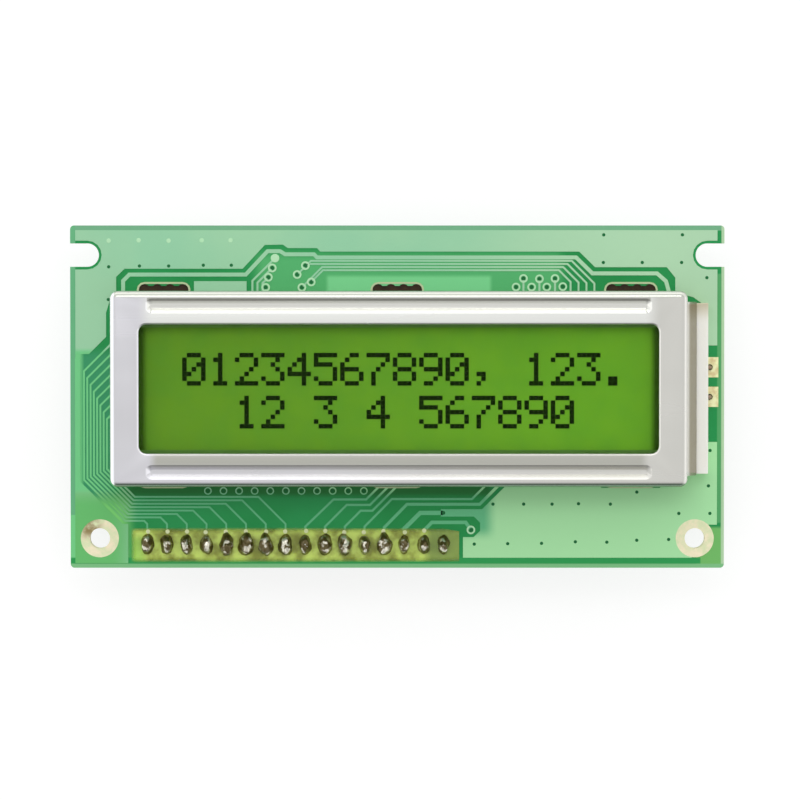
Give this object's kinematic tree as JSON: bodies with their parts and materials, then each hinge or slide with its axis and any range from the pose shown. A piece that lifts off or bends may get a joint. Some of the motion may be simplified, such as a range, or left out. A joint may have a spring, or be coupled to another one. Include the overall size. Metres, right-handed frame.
{
  "type": "character lcd module",
  "caption": "Character LCD module: a dot matrix display in a folded metal bezel on a green circuit board with a pin header, mounting holes and backlight pads.",
  "frame": {"origin": "midway between the two lower mounting holes, on the circuit board's front face", "axes": "+X to the right along the text, +Y up the board, +Z out of the display's face"},
  "size_m": [0.084, 0.044, 0.017],
  "materials": {
    "green_laminate": "solder mask over copper, satin",
    "tinned_copper": "tinned, slightly rough",
    "solder": "dull solder with flux stain",
    "pin_metal": "plated, glossy",
    "lead_wire": "tinned wire",
    "black_moulding": "moulded, fine grain",
    "black_epoxy": "cured epoxy, satin",
    "silicon": "polished",
    "resistor_body": "glazed",
    "capacitor_body": "fired",
    "chip_metal": "tinned",
    "cream_plastic": "moulded, satin",
    "white_film": "matt film",
    "clear_acrylic": "clear, polished",
    "lamp_laminate": "white laminate",
    "lamp_resin": "diffuse resin",
    "zebra_elastomer": "layered silicone",
    "polarizer_film": "anti-glare film",
    "display_glass": "polished float glass",
    "cell_glue": "cured glue",
    "liquid": "liquid film",
    "bezel_steel": "tin plated sheet, satin"
  },
  "bodies": {
    "root": {"circuit_board": "green_laminate", "mounting_hole_lands": "tinned_copper", "tab_slot_lands": "tinned_copper", "header_lands": "tinned_copper", "backlight_lands": "tinned_copper", "header_solder": "solder", "backlight_lead_solder": "solder", "header_pins": "pin_metal", "backlight_leads": "lead_wire", "header_housing": "black_moulding", "controller_glob_top": "black_epoxy", "driver_glob_top": "black_epoxy", "controller_die": "silicon", "driver_die": "silicon", "chip_resistors": "resistor_body", "chip_capacitors": "capacitor_body", "chip_end_caps": "chip_metal", "backlight_frame": "cream_plastic", "reflector_film": "white_film", "diffuser_film": "white_film", "light_guide": "clear_acrylic", "led_board": "lamp_laminate", "led_lamps": "lamp_resin", "zebra_strip_top": "zebra_elastomer", "zebra_strip_bottom": "zebra_elastomer", "rear_polarizer": "polarizer_film", "front_polarizer": "polarizer_film", "front_glass": "display_glass", "rear_glass": "display_glass", "cell_seal": "cell_glue", "fill_port_plug": "cell_glue", "liquid_crystal": "liquid", "bezel": "bezel_steel"}
  },
  "joints": []
}
